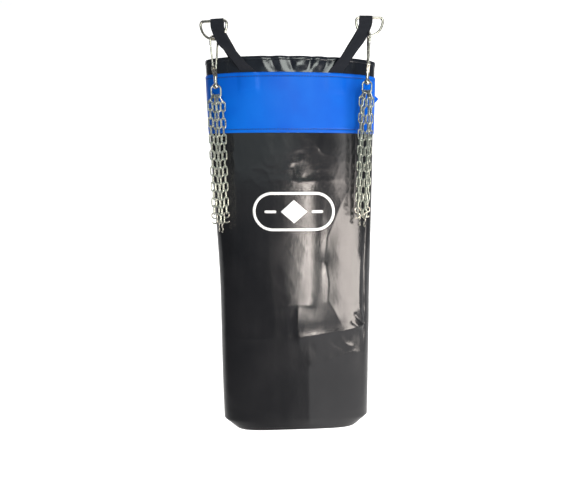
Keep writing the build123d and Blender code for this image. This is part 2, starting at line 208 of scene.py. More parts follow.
BACK_FOLDS = [
    dict(points=[(-0.205, 0.315), (-0.08, 0.298), (0.06, 0.287), (0.205, 0.281)],
         rise=0.0020, above=0.018, below=0.012),
    dict(points=[(-0.200, 0.625), (-0.09, 0.640), (0.02, 0.634), (0.12, 0.648)],
         rise=0.0012, above=0.012, below=0.015),
    dict(points=[(-0.120, 0.300), (-0.126, 0.420), (-0.115, 0.560)], rise=0.0010, above=0.012, below=0.014),
    dict(points=[(0.090, 0.330), (0.100, 0.450), (0.086, 0.610)], rise=0.0011, above=0.014, below=0.012),
    dict(points=[(-0.060, 0.150), (0.01, 0.163), (0.09, 0.148)], rise=-0.0009, above=0.010, below=0.008),
    dict(points=[(-0.100, 0.765), (-0.05, 0.735), (0.0, 0.752)], rise=-0.0012, above=0.010, below=0.008),
    dict(points=[(0.140, 0.345), (0.165, 0.318), (0.196, 0.300)], rise=0.0013, above=0.006, below=0.005),
]
# gathers of the collar: where they stand along x, their width and their height
FRONT_GATHERS = [
    (-0.130, 0.014, 0.0008), (-0.068, 0.011, 0.0018), (-0.046, 0.008, -0.0016), (-0.026, 0.012, 0.0022),
    (-0.004, 0.006, -0.0016), (0.018, 0.014, 0.0024), (0.043, 0.006, -0.0020), (0.060, 0.012, 0.0022),
    (0.082, 0.008, -0.0018), (0.100, 0.011, 0.0016), (0.150, 0.014, 0.0008),
]
BACK_GATHERS = [
    (-0.140, 0.012, 0.0014), (-0.090, 0.010, -0.0016), (-0.055, 0.012, 0.0020), (-0.010, 0.011, -0.0016),
    (0.035, 0.012, 0.0020), (0.070, 0.010, -0.0016), (0.112, 0.012, 0.0012),
]


def outline(turn, z):
    """Point of the plain section at this angle and height."""
    low = 1.0 - z / HEIGHT
    depth = TOP_HALF_DEPTH + (BOTTOM_HALF_DEPTH - TOP_HALF_DEPTH) * low
    power = TOP_POWER + (BOTTOM_POWER - TOP_POWER) * low
    power = power + (FLAT_BOTTOM_POWER - BOTTOM_POWER) * (1.0 - smooth(0.02, 0.42, z))
    corner = np.clip(1.0 - z / CORNER_HEIGHT, 0.0, 1.0)
    cos, sin = np.cos(turn), np.sin(turn)
    drawn_in = WAIST * bell(z, 0.46, 0.24) * smooth(0.0, -0.6, cos)
    half = HALF_WIDTH - CORNER_WIDTH * corner - drawn_in
    reach = (np.abs(cos) ** power + np.abs(sin) ** power) ** (-1.0 / power)
    return half * reach * cos, depth * reach * sin


def folds(turn, x, z):
    """How far the vinyl stands out from the plain section, from folds, dents and gathers."""
    front = smooth(0.02, 0.30, -np.sin(turn))
    back = smooth(0.02, 0.30, np.sin(turn))
    below_band = 1.0 - smooth(0.80, 0.84, z)
    total = np.zeros(np.shape(x))
    for fold in FRONT_FOLDS:
        total += front * below_band * fold_field(x, z, **fold)
    for fold in BACK_FOLDS:
        total += back * below_band * fold_field(x, z, **fold)
    # the upright facet edge of the bottom third, the slack belly above the packing fold, and the two soft
    # columns beside the emblem with a hollow between them
    facet = np.exp(-np.sqrt((x - 0.036) ** 2 + 0.0000015) / 0.045)
    total += front * (1.0 - smooth(0.22, 0.29, z)) * smooth(0.0, 0.04, z) * FACET * facet
    total += front * BELLY * bell(z, 0.335, 0.030) * bell(x, 0.0, 0.16)
    columns = 0.2 * bell(x, 0.038, 0.018) - bell(x, 0.070, 0.013) + 0.4 * bell(x, 0.128, 0.036)
    total += front * COLUMN * columns * smooth(0.36, 0.42, z) * (1.0 - smooth(0.69, 0.73, z))
    # wandering of the whole sheet, then crumples under the band and down the right side
    broad_wave = ring_noise(turn, z, 11, 0.170, 3)
    short_wave = ring_noise(turn, z, 24, 0.075, 5)
    sheet = SHEET_WAVES[0] * broad_wave + SHEET_WAVES[1] * short_wave
    sharp = (1.0 - np.abs(ring_noise(turn + 2.2 * z, z, 34, 0.040, 8))) ** 4
    finer = (1.0 - np.abs(ring_noise(turn - 3.1 * z, z, 58, 0.024, 12))) ** 4
    crumpled = 0.25 + bell(z, 0.765, 0.050) + 0.6 * front * bell(x, 0.19, 0.03) * bell(z, 0.34, 0.12)
    total += below_band * (sheet + crumpled * (CRUMPLES[0] * sharp + CRUMPLES[1] * finer))
    # the band lies over soft dents
    on_band = smooth(0.80, 0.84, z) * (1.0 - smooth(0.955, 0.975, z))
    broad_dent = ring_noise(turn, z, 9, 0.060, 21)
    small_dent = ring_noise(turn, z, 26, 0.030, 22)
    total += on_band * (BAND_DENTS[0] * broad_dent + BAND_DENTS[1] * small_dent)
    # the collar is gathered under the rim
    at_collar = smooth(0.955, 0.982, z)
    for gathers, weight in ((FRONT_GATHERS, front), (BACK_GATHERS, back)):
        for centre, width, height in gathers:
            slant = centre + 0.35 * (z - 0.985) * math.copysign(1.0, centre)
            total += at_collar * weight * height * bell(x, slant, width)
    total += at_collar * COLLAR_WAVES * ring_noise(turn, z, 30, 0.020, 31)
    return total


def outline_normal(turn, z):
    ahead, behind = outline(turn + NORMAL_STEP, z), outline(turn - NORMAL_STEP, z)
    dx, dy = ahead[0] - behind[0], ahead[1] - behind[1]
    size = np.hypot(dx, dy)
    return dy / size, -dx / size


def skin(turn, z):
    """Visible outer surface, as an array of points."""
    turn, z = np.broadcast_arrays(np.asarray(turn, float), np.asarray(z, float))
    x, y = outline(turn, z)
    nx, ny = outline_normal(turn, z)
    out = folds(turn, x, z)
    lean = LEAN * (1.0 - z / HEIGHT)
    return np.stack([x + nx * out + lean, y + ny * out, z], axis=-1)


def skin_normal(turn, z):
    step = 6.0 * NORMAL_STEP
    across = skin(turn + step, z) - skin(turn - step, z)
    up = skin(turn, z + step) - skin(turn, z - step)
    normal = np.cross(across, up)
    return normal / np.linalg.norm(normal, axis=-1, keepdims=True)


def on_skin(turn, z, offset):
    """Point at this angle and height, lifted off the visible surface by offset."""
    turn, z, offset = np.broadcast_arrays(
        np.asarray(turn, float), np.asarray(z, float), np.asarray(offset, float))
    return skin(turn, z) + skin_normal(turn, z) * offset[..., None]


def turn_at(x, z, front=True):
    """Angle at which the plain section has this x, on its front or its back."""
    low, high = (math.pi, 2.0 * math.pi) if front else (math.pi, 0.0)
    samples = np.linspace(low, high, 721)
    x, z = np.broadcast_arrays(np.asarray(x, float), np.asarray(z, float))
    found = np.empty(x.shape)
    for index in np.ndindex(x.shape):
        xs = outline(samples, np.full(samples.shape, z[index]))[0]
        found[index] = np.interp(x[index], xs, samples)
    return found


# ---- mesh helpers ----

def new_object(name, vertices, faces, material):
    """A smooth piece that rides on the bag; material is one or a list."""
    mesh = bpy.data.meshes.new(name)
    mesh.from_pydata([tuple(map(float, v)) for v in vertices], [], faces)
    mesh.validate()
    mesh.update()
    mesh.shade_smooth()
    for one in material if isinstance(material, (list, tuple)) else [material]:
        mesh.materials.append(one)
    piece = bpy.data.objects.new(name, mesh)
    bpy.context.scene.collection.objects.link(piece)
    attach(piece, "bag")
    return piece


def grid_faces(rows, columns, close_rows=False, close_columns=False):
    """Quads of a grid of vertices numbered row by row."""
    faces = []
    for i in range(rows if close_rows else rows - 1):
        for j in range(columns if close_columns else columns - 1):
            a = i * columns + j
            b = i * columns + (j + 1) % columns
            c = ((i + 1) % rows) * columns + (j + 1) % columns
            d = ((i + 1) % rows) * columns + j
            faces.append((a, b, c, d))
    return faces


def sleeve(name, profile, material, lift=None, lining_from=None):
    """A closed profile of (offset, z) carried right round the bag; lift adds to the offset."""
    turns = np.linspace(0.0, 2.0 * math.pi, AROUND, endpoint=False)
    rows = []
    for offset, z in profile:
        offsets = np.full(turns.shape, offset)
        if lift is not None:
            offsets = offsets + lift(turns, outline(turns, np.full(turns.shape, z))[0], z)
        rows.append(on_skin(turns, z, offsets))
    faces = grid_faces(len(profile), AROUND, close_rows=True, close_columns=True)
    piece = new_object(name, np.concatenate(rows), faces, material)
    if lining_from is not None:
        for polygon in piece.data.polygons:
            if polygon.index // AROUND >= lining_from:
                polygon.material_index = 1
    return piece


def wall_profile(low, high, outer, inner, steps):
    """Up the outside and down the inside, with both edges rounded over."""
    edge = (outer - inner) / 2
    middle = (outer + inner) / 2
    near, far = edge * 0.7, edge * 0.3
    zs = np.linspace(low + edge, high - edge, steps)
    profile = [(outer, z) for z in zs]
    profile += [(middle + near, high - far), (middle, high), (middle - near, high - far)]
    profile += [(inner, z) for z in zs[::-1]]
    profile += [(middle - near, low + far), (middle, low), (middle + near, low + far)]
    return profile


def patch_rim(rows, columns):
    """Vertex numbers round the edge of a grid."""
    rim = list(range(columns))
    rim += [i * columns + columns - 1 for i in range(1, rows)]
    rim += [(rows - 1) * columns + j for j in range(columns - 2, -1, -1)]
    rim += [i * columns for i in range(rows - 2, 0, -1)]
    return rim


def slab(name, turn_grid, z_grid, low, high, material):
    """A thin closed patch lying on the skin, from a grid of angles and heights."""
    rows, columns = turn_grid.shape
    top = on_skin(turn_grid, z_grid, high).reshape(-1, 3)
    bottom = on_skin(turn_grid, z_grid, low).reshape(-1, 3)
    upper = grid_faces(rows, columns)
    count = rows * columns
    lower = [tuple(count + v for v in reversed(face)) for face in upper]
    rim = patch_rim(rows, columns)
    sides = []
    for a, b in zip(rim, rim[1:] + rim[:1]):
        sides.append((b, a, count + a, count + b))
    return new_object(name, np.concatenate([top, bottom]), upper + lower + sides, material)


def thread(name, points, normals, material, length=0.0046, gap=0.0022, radius=0.00042, closed=True):
    """A row of separate stitches along a line of points."""
    points, normals = np.asarray(points), np.asarray(normals)
    if closed:
        points, normals = np.vstack([points, points[:1]]), np.vstack([normals, normals[:1]])
    steps = np.concatenate([[0.0], np.cumsum(np.linalg.norm(np.diff(points, axis=0), axis=1))])
    count = max(1, int(steps[-1] // (length + gap)))
    pitch = steps[-1] / count
    profile = [(0.0, 0.0), (0.12, 0.75), (0.35, 1.0), (0.65, 1.0), (0.88, 0.75), (1.0, 0.0)]
    vertices, faces = [], []
    for i in range(count):
        begin = i * pitch + gap / 2
        ends = []
        for s in (begin, begin + pitch - gap):
            ends.append([np.interp(s, steps, points[:, k]) for k in range(3)])
        start, end = np.array(ends)
        middle = begin + (pitch - gap) / 2
        normal = np.array([np.interp(middle, steps, normals[:, k]) for k in range(3)])
        normal /= np.linalg.norm(normal)
        way = (end - start) / np.linalg.norm(end - start)
        side = np.cross(normal, way)
        base = len(vertices)
        for t, size in profile:
            centre = start + (end - start) * t
            for k in range(6):
                a = k * math.pi / 3
                around = math.cos(a) * side + math.sin(a) * normal
                vertices.append(centre + around * radius * max(size, 0.15))
        faces += [tuple(base + v for v in face) for face in grid_faces(len(profile), 6, close_columns=True)]
        faces.append(tuple(base + k for k in reversed(range(6))))
        faces.append(tuple(base + 6 * (len(profile) - 1) + k for k in range(6)))
    return new_object(name, vertices, faces, material)


# ---- materials ----

class Nodes:
    """Short way to write a material's node tree."""

    def __init__(self, name):
        self.material = bpy.data.materials.new(name)
        self.material.use_nodes = True
        self.tree = self.material.node_tree
        self.shader = self.tree.nodes["Principled BSDF"]
        self.where = self.add("ShaderNodeTexCoord").outputs["Object"]

    def add(self, kind, settings=None, **inputs):
        node = self.tree.nodes.new(kind)
        for key, value in (settings or {}).items():
            setattr(node, key, value)
        for key, value in inputs.items():
            self.put(node, key.replace("_", " "), value)
        return node

    def put(self, node, key, value):
        socket = node.inputs[key]
        if isinstance(value, bpy.types.NodeSocket):
            self.tree.links.new(value, socket)
        else:
            socket.default_value = value

    def finish(self, **inputs):
        for key, value in inputs.items():
            self.put(self.shader, key.replace("_", " "), value)
        return self.material

    def scaled(self, x, y, z):
        return self.add("ShaderNodeMapping", Vector=self.where, Scale=(x, y, z)).outputs["Vector"]

    def noise(self, scale, detail=3.0, vector=None, distortion=0.0):
        return self.add("ShaderNodeTexNoise", Vector=vector or self.where, Scale=scale,
                        Detail=detail, Distortion=distortion).outputs["Fac"]

    def cells(self, scale, feature):
        return self.add("ShaderNodeTexVoronoi", {"feature": feature}, Vector=self.where,
                        Scale=scale).outputs["Distance"]

    def combine(self, operation, first, second):
        node = self.add("ShaderNodeMath", {"operation": operation})
        self.tree.links.new(first, node.inputs[0])
        self.tree.links.new(second, node.inputs[1])
        return node.outputs[0]

    def ramp(self, factor, stops):
        node = self.add("ShaderNodeValToRGB", Fac=factor)
        ramp = node.color_ramp
        while len(ramp.elements) < len(stops):
            ramp.elements.new(0.5)
        for element, (position, colour) in zip(ramp.elements, stops):
            element.position = position
            element.color = (*colour, 1.0)
        return node.outputs["Color"]

    def between(self, factor, low, high, start=0.3, end=0.7):
        node = self.add("ShaderNodeMapRange", Value=factor)
        for key, value in (("From Min", start), ("From Max", end), ("To Min", low), ("To Max", high)):
            node.inputs[key].default_value = value
        return node.outputs["Result"]

    def bump(self, height, strength, distance, normal=None):
        node = self.add("ShaderNodeBump", Height=height, Strength=strength, Distance=distance)
        if normal is not None:
            self.put(node, "Normal", normal)
        return node.outputs["Normal"]


def coated_vinyl(name, dark, light, worn, roughness, grain=1.0, shine=0.5):
    """Smooth PVC sheet: fine pressed grain, uneven gloss and pale rubbed folds."""
    n = Nodes(name)
    cloudy = n.noise(9.0, 4.0)
    colour = n.ramp(cloudy, [(0.35, dark), (0.65, light)])
    rubbed = n.between(n.add("ShaderNodeNewGeometry").outputs["Pointiness"], 0.0, 1.0, 0.515, 0.56)
    scuffs = n.between(n.noise(55.0, 6.0, distortion=0.8), 0.0, 1.0, 0.56, 0.72)
    wear = n.combine("MULTIPLY", rubbed, scuffs)
    mixed = n.add("ShaderNodeMix", {"data_type": "RGBA"})
    n.tree.links.new(wear, mixed.inputs[0])
    n.tree.links.new(colour, mixed.inputs[6])
    mixed.inputs[7].default_value = (*worn, 1.0)
    gloss = n.between(n.noise(1.0, 5.0, n.scaled(34.0, 34.0, 7.0)), roughness[0], roughness[1])
    pebbles = n.bump(n.cells(950.0, "SMOOTH_F1"), 0.10 * grain, 0.0004)
    creped = n.bump(n.noise(1.0, 4.0, n.scaled(150.0, 150.0, 60.0)), 0.10, 0.0016, pebbles)
    return n.finish(Base_Color=mixed.outputs[2], Roughness=gloss, Normal=creped, Specular_IOR_Level=shine)


def black_vinyl():
    return coated_vinyl("black_vinyl", (0.0075, 0.0082, 0.0100), (0.0120, 0.0125, 0.0145),
                        (0.050, 0.048, 0.046), (0.13, 0.24))


def navy_vinyl():
    return coated_vinyl("navy_vinyl", (0.0065, 0.0085, 0.0130), (0.0100, 0.0130, 0.0185),
                        (0.040, 0.044, 0.047), (0.13, 0.22))


def blue_vinyl():
    return coated_vinyl("blue_vinyl", (0.0003, 0.085, 0.50), (0.0010, 0.115, 0.57),
                        (0.080, 0.220, 0.66), (0.34, 0.48), grain=0.7, shine=0.13)


def lining():
    """Open-weave backing cloth on the inside of the vinyl."""
    n = Nodes("lining_cloth")
    weft = n.add("ShaderNodeTexWave", {"bands_direction": "Z"}, Vector=n.where, Scale=160.0).outputs["Fac"]
    warp = n.add("ShaderNodeTexWave", {"bands_direction": "X"}, Vector=n.where, Scale=160.0).outputs["Fac"]
    woven = n.combine("MAXIMUM", weft, warp)
    colour = n.ramp(woven, [(0.2, (0.018, 0.019, 0.021)), (0.9, (0.052, 0.053, 0.055))])
    return n.finish(Base_Color=colour, Roughness=0.92, Normal=n.bump(woven, 0.5, 0.0006))


def webbing():
    """Ribbed polypropylene webbing; its ribs run across the strap, by the strap's own map."""
    n = Nodes("webbing")
    uv = n.add("ShaderNodeTexCoord").outputs["UV"]
    ribs = n.add("ShaderNodeTexWave", {"bands_direction": "X", "wave_profile": "SIN"},
                 Vector=uv, Scale=120.0, Distortion=0.4).outputs["Fac"]
    strands = n.add("ShaderNodeTexWave", {"bands_direction": "Y"}, Vector=uv, Scale=330.0,
                    Distortion=0.6).outputs["Fac"]
    fuzz = n.noise(900.0, 3.0)
    colour = n.ramp(ribs, [(0.1, (0.0030, 0.0040, 0.0070)), (0.8, (0.0130, 0.0160, 0.0240))])
    normal = n.bump(ribs, 0.9, 0.0009)
    normal = n.bump(strands, 0.35, 0.0004, normal)
    normal = n.bump(fuzz, 0.2, 0.0003, normal)
    return n.finish(Base_Color=colour, Roughness=0.78, Normal=normal, Specular_IOR_Level=0.2,
                    Sheen_Weight=0.06, Sheen_Roughness=0.5)


def printed_ink():
    """White screen print, a little thin and cracked where the vinyl shows through."""
    n = Nodes("white_ink")
    cracks = n.between(n.cells(240.0, "DISTANCE_TO_EDGE"), 0.0, 1.0, 0.0, 0.03)
    thin = n.between(n.noise(30.0, 6.0), 0.0, 1.0, 0.30, 0.48)
    cover = n.combine("MULTIPLY", cracks, thin)
    colour = n.ramp(cover, [(0.0, (0.42, 0.43, 0.44)), (0.5, (0.80, 0.81, 0.82))])
    pebbles = n.bump(n.cells(950.0, "SMOOTH_F1"), 0.08, 0.0004)
    return n.finish(Base_Color=colour, Roughness=0.46, Normal=pebbles)


def plated(name, pale, dull, stain, roughness):
    """Bright zinc plate: mottled, with dull stains and fine drawing marks."""
    n = Nodes(name)
    mottled = n.noise(210.0, 5.0, distortion=0.6)
    colour = n.ramp(mottled, [(0.30, dull), (0.52, pale), (0.74, stain)])
    gloss = n.between(n.noise(420.0, 4.0), roughness[0], roughness[1])
    marks = n.bump(n.noise(1.0, 3.0, n.scaled(1500.0, 1500.0, 240.0)), 0.12, 0.0002)
    pits = n.bump(n.noise(1300.0, 3.0), 0.14, 0.0002, marks)
    return n.finish(Base_Color=colour, Roughness=gloss, Metallic=1.0, Normal=pits)


def stitch_thread(name, dark, light):
    n = Nodes(name)
    twist = n.noise(1400.0, 2.0)
    colour = n.ramp(twist, [(0.35, dark), (0.65, light)])
    return n.finish(Base_Color=colour, Roughness=0.6, Normal=n.bump(twist, 0.5, 0.0002))


BLACK, NAVY, BLUE = black_vinyl(), navy_vinyl(), blue_vinyl()
LINING, WEBBING, INK = lining(), webbing(), printed_ink()
DARK_THREAD = stitch_thread("dark_thread", (0.004, 0.006, 0.016), (0.012, 0.018, 0.045))
BLACK_THREAD = stitch_thread("black_thread", (0.006, 0.006, 0.007), (0.022, 0.022, 0.024))
PLATED_STEEL = plated("plated_steel", (0.46, 0.45, 0.40), (0.22, 0.22, 0.20),
                      (0.38, 0.34, 0.26), (0.18, 0.34))
CHAIN_STEEL = plated("chain_steel", (0.39, 0.415, 0.365), (0.16, 0.175, 0.155),
                     (0.33, 0.33, 0.26), (0.20, 0.38))


# ---- the bag's pieces ----

def bag_wall():
    profile = wall_profile(0.0, WALL_TOP, 0.0, -VINYL, WALL_STEPS)
    piece = sleeve("bag_wall", profile, [BLACK, LINING], lining_from=WALL_STEPS + 2)
    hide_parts("shell_wall")
    return piece


def bag_bottom():
    """Bottom panel with its hem turned up inside the wall, sagging a little in the middle."""
    turns = np.linspace(0.0, 2.0 * math.pi, 208, endpoint=False)
    gap = VINYL + 0.0003
    hem = [(-gap, 0.0137), (-gap, 0.009), (-gap, 0.0035), (-gap - 0.0006, 0.0020), (-gap - 0.0022, 0.0012)]
    outer_rows = [on_skin(turns, z, offset) for offset, z in hem]
    edge = outer_rows[-1]
    centre = edge.mean(axis=0)
    for share in (0.93, 0.80, 0.64, 0.48, 0.32, 0.16, 0.05):
        row = centre + (edge - centre) * share
        uneven = 0.0003 * ring_noise(turns, np.full(turns.shape, share), 9, 0.2, 41)
        row[:, 2] = 0.0012 - 0.0007 * math.cos(share * math.pi / 2) + uneven
        outer_rows.append(row)
    inner_rows = []
    for row in outer_rows[::-1]:
        inner_rows.append(row + np.array([0.0, 0.0, VINYL]))
    for i, (offset, z) in enumerate(hem[:3]):
        inner_rows[len(inner_rows) - 1 - i] = on_skin(turns, z, offset - VINYL)
    rows = outer_rows + inner_rows
    faces = grid_faces(len(rows), len(turns), close_rows=True, close_columns=True)
    piece = new_object("bag_bottom", np.concatenate(rows), faces, BLACK)
    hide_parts("bottom_panel")
    return piece


def bag_collar():
    profile = wall_profile(WALL_TOP + 0.0003, HEIGHT - 0.002, 0.0, -VINYL, COLLAR_STEPS)
    piece = sleeve("bag_collar", profile, [NAVY, LINING], lining_from=COLLAR_STEPS + 2)
    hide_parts("collar")
    return piece


def bag_rim():
    """Binding tape folded over the mouth."""
    low, top = HEIGHT - BINDING_HEIGHT, HEIGHT
    outer, inner = VINYL * 0.85, -VINYL * 1.85
    skin_gap = 0.00015
    outside = [(outer * 0.6, low), (outer, low + 0.0008), (outer * 1.1, low + 0.0035), (outer, top - 0.0014)]
    over = [(outer * 0.5, top - 0.0003), (-VINYL / 2, top), (inner * 0.8, top - 0.0004),
            (inner, top - 0.0016)]
    inside = [(inner, low + 0.0008), (inner * 0.9, low)]
    pocket = [(-VINYL - skin_gap, low + 0.0004), (-VINYL - skin_gap, top - 0.0016),
              (skin_gap, top - 0.0016), (skin_gap, low + 0.0004)]
    profile = outside + over + inside + pocket
    piece = sleeve("rim_tape", profile, NAVY)
    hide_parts("rim_binding")
    return piece


def over_feet(turns, x, z):
    """Extra height of the band where a strap's foot lies under it."""
    rise = np.zeros(np.shape(x))
    half = WEB_WIDTH / 2
    for foot_x, face in ((FRONT_FOOT_X, -1), (REAR_FOOT_X, 1)):
        here = smooth(0.0, 0.2, face * np.sin(turns))
        near = np.abs(np.abs(x) - foot_x)
        flank = 1.0 - smooth(half - 0.002, half + 0.010, near)
        rise += here * flank
    return FOOT_RISE * rise * smooth(BAND_TOP - FOOT_DEPTH - 0.014, BAND_TOP - FOOT_DEPTH + 0.004, z)


def hem_shape(z):
    """The band's outer face: rounded edges, and a groove where each row of stitches pulls it in."""
    near_edge = np.minimum(z - BAND_BOTTOM, BAND_TOP - z)
    rounded = smooth(-0.0004, 0.0022, near_edge)
    groove = bell(near_edge, STITCH_INSET, 0.0018)
    return BAND_STAND * (0.55 + 0.45 * rounded) - 0.00080 * groove


def bag_band():
    low, high, inner = BAND_BOTTOM, BAND_TOP, BAND_INNER
    zs = np.concatenate([np.linspace(low, low + 0.012, 10), np.linspace(low + 0.014, high - 0.014, 44),
                         np.linspace(high - 0.012, high, 10)])
    profile = [(hem_shape(z), z) for z in zs]
    profile += [(inner + 0.0004, high + 0.0002)]
    profile += [(inner, z) for z in np.linspace(high - 0.0004, low + 0.0004, 40)]
    profile += [(inner + 0.0004, low - 0.0002)]
    piece = sleeve("bag_band", profile, BLUE, lift=over_feet)
    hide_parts("blue_band")
    return piece


def band_stitches():
    """Two dark rows, just inside the band's edges."""
    turns = np.linspace(0.0, 2.0 * math.pi, 720, endpoint=False)
    rows = {"low": BAND_BOTTOM + STITCH_INSET, "high": BAND_TOP - STITCH_INSET}
    for row, z in rows.items():
        x = outline(turns, np.full(turns.shape, z))[0]
        lifted = hem_shape(z) + over_feet(turns, x, z) + 0.00012
        wander = ring_noise(turns, np.full(turns.shape, 0.0), 16, 0.1, 51)
        heights = np.full(turns.shape, z) + 0.0004 * wander
        thread(f"band_thread_{row}", on_skin(turns, heights, lifted), skin_normal(turns, heights),
               DARK_THREAD, length=0.0052, gap=0.0015, radius=0.00085)


def band_tab():
    """Loose pointed end of the band's side seam."""
    root_low, root_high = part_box("band_side_tab")
    start_x, tip_x = root_low.x - 0.0012, root_high.x
    middle_z = (root_low.z + root_high.z) / 2
    half = (root_high.z - root_low.z) / 2
    columns, rows = 13, 9
    top, bottom = [], []
    for i in range(rows):
        s = i / (rows - 1)
        for j in range(columns):
            t = 2.0 * j / (columns - 1) - 1.0
            width = half * (1.0 - s) ** 0.8 + 0.0012 * s
            curl = 0.0016 * s * s * math.sin(2.2 * t)
            thick = 0.0010 - 0.0004 * s
            point = np.array([start_x + (tip_x - start_x) * s, curl, middle_z + width * t + 0.0015 * s])
            top.append(point + np.array([0.0, -thick, 0.0]))
            bottom.append(point + np.array([0.0, thick, 0.0]))
    count = rows * columns
    upper = [tuple(reversed(face)) for face in grid_faces(rows, columns)]
    lower = [tuple(count + v for v in reversed(face)) for face in upper]
    rim = patch_rim(rows, columns)
    sides = [(a, b, count + b, count + a) for a, b in zip(rim, rim[1:] + rim[:1])]
    piece = new_object("band_tab", top + bottom, upper + lower + sides, BLUE)
    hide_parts("band_side_tab")


def seam_strip():
    """Strip over the seam that closes the sleeve at the back, with a row of stitches down each edge."""
    half = SEAM_HALF
    xs = np.linspace(-half, half, 17)
    zs = np.linspace(0.0045, BAND_BOTTOM - 0.0022, 260)
    coarse = np.linspace(zs[0], zs[-1], 24)
    coarse_turns = np.array([turn_at(xs, np.full(xs.shape, z), front=False) for z in coarse])
    turns = np.array([np.interp(zs, coarse, coarse_turns[:, k]) for k in range(len(xs))]).T
    z_grid = np.repeat(zs[:, None], len(xs), axis=1)
    edge = np.minimum(xs + half, half - xs)
    rise = 0.0003 + 0.0010 * smooth(-0.0003, 0.0018, edge) - 0.00025 * bell(edge, 0.0040, 0.0010)
    top = np.broadcast_to(rise[::-1], turns.shape)
    piece = slab("seam_strip", turns[:, ::-1], z_grid, 0.0002, top, BLACK)
    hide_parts("back_seam_strip")
    for name, column in (("seam_thread_a", 4), ("seam_thread_b", 12)):
        lifted = rise[column] + 0.00012
        thread(name, on_skin(turns[:, column], zs, lifted), skin_normal(turns[:, column], zs), BLACK_THREAD,
               closed=False)


def bottom_stitches():
    turns = np.linspace(0.0, 2.0 * math.pi, 720, endpoint=False)
    heights = np.full(turns.shape, 0.0085)
    thread("bottom_thread", on_skin(turns, heights, 0.00018), skin_normal(turns, heights), BLACK_THREAD)


# ---- the printed emblem ----

def stadium(count, width, height):
    """Outline of a flat oval with round ends, as evenly spaced (x, z) offsets from its centre."""
    radius = height / 2
    straight = width - height
    arc = math.pi * radius
    points = []
    for k in range(count):
        s = (2 * straight + 2 * arc) * k / count
        if s < straight:
            points.append((straight / 2 - s, radius))
        elif s < straight + arc:
            a = math.pi / 2 + (s - straight) / radius
            points.append((-straight / 2 + radius * math.cos(a), radius * math.sin(a)))
        elif s < 2 * straight + arc:
            points.append((-straight / 2 + s - straight - arc, -radius))
        else:
            a = -math.pi / 2 + (s - 2 * straight - arc) / radius
            points.append((straight / 2 + radius * math.cos(a), radius * math.sin(a)))
    return np.array(points)


def print_patch(name, inner, outer, steps):
    """Ink between two outlines with the same number of points, as a thin layer on the vinyl."""
    shares = np.linspace(0.0, 1.0, steps)[:, None, None]
    flat = inner[None] * (1 - shares) + outer[None] * shares
    z = EMBLEM_Z + flat[..., 1]
    turns = turn_at(flat[..., 0], z)
    rows, columns = turns.shape
    raised = on_skin(turns, z, INK_TOP).reshape(-1, 3)
    sunk = on_skin(turns, z, INK_SUNK).reshape(-1, 3)
    loops = grid_faces(rows, columns, close_columns=True)
    count = rows * columns
    faces = [tuple(reversed(face)) for face in loops]
    faces += [tuple(count + v for v in face) for face in loops]
    for j in range(columns):
        k = (j + 1) % columns
        faces.append((j, k, count + k, count + j))
        last = (rows - 1) * columns
        faces.append((last + k, last + j, count + last + j, count + last + k))
    return new_object(name, np.concatenate([raised, sunk]), faces, INK)


def emblem():
    outer = stadium(180, EMBLEM_WIDTH, EMBLEM_HEIGHT)
    ways = np.roll(outer, -1, axis=0) - np.roll(outer, 1, axis=0)
    inward = np.stack([-ways[:, 1], ways[:, 0]], axis=1)
    inner = outer + inward / np.linalg.norm(inward, axis=1, keepdims=True) * EMBLEM_LINE
    ring = print_patch("emblem_ring", inner, outer, 4)
    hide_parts("emblem_print")
    half_wide, half_tall = LOZENGE_HALF
    corners = np.array([(half_wide, 0.0), (0.0, half_tall), (-half_wide, 0.0), (0.0, -half_tall)])
    edge = []
    for a, b in zip(corners, np.roll(corners, -1, axis=0)):
        for t in np.linspace(0.0, 1.0, 16, endpoint=False):
            edge.append(a * (1 - t) + b * t)
    print_patch("emblem_lozenge", np.array(edge) * 0.02, np.array(edge), 9)
    bar = stadium(40, EMBLEM_BAR_LENGTH, EMBLEM_LINE)
    spine = bar * np.array([1.0, 0.05])
    for side in SIDES:
        centre = np.array([side * EMBLEM_BAR_X, 0.0])
        print_patch(f"emblem_bar_{SIDES[side]}", centre + spine, centre + bar, 4)


# ---- the webbing loops ----

def foot_point(side, front, z, offset):
    """Middle of a strap's foot and its level width direction."""
    x = side * (FRONT_FOOT_X if front > 0 else REAR_FOOT_X)
    turn = float(turn_at(x, z, front > 0))
    step = 0.01
    left = on_skin(turn_at(x - step, z, front > 0), z, offset)
    right = on_skin(turn_at(x + step, z, front > 0), z, offset)
    width = (right - left) / np.linalg.norm(right - left)
    return on_skin(turn, z, offset), width


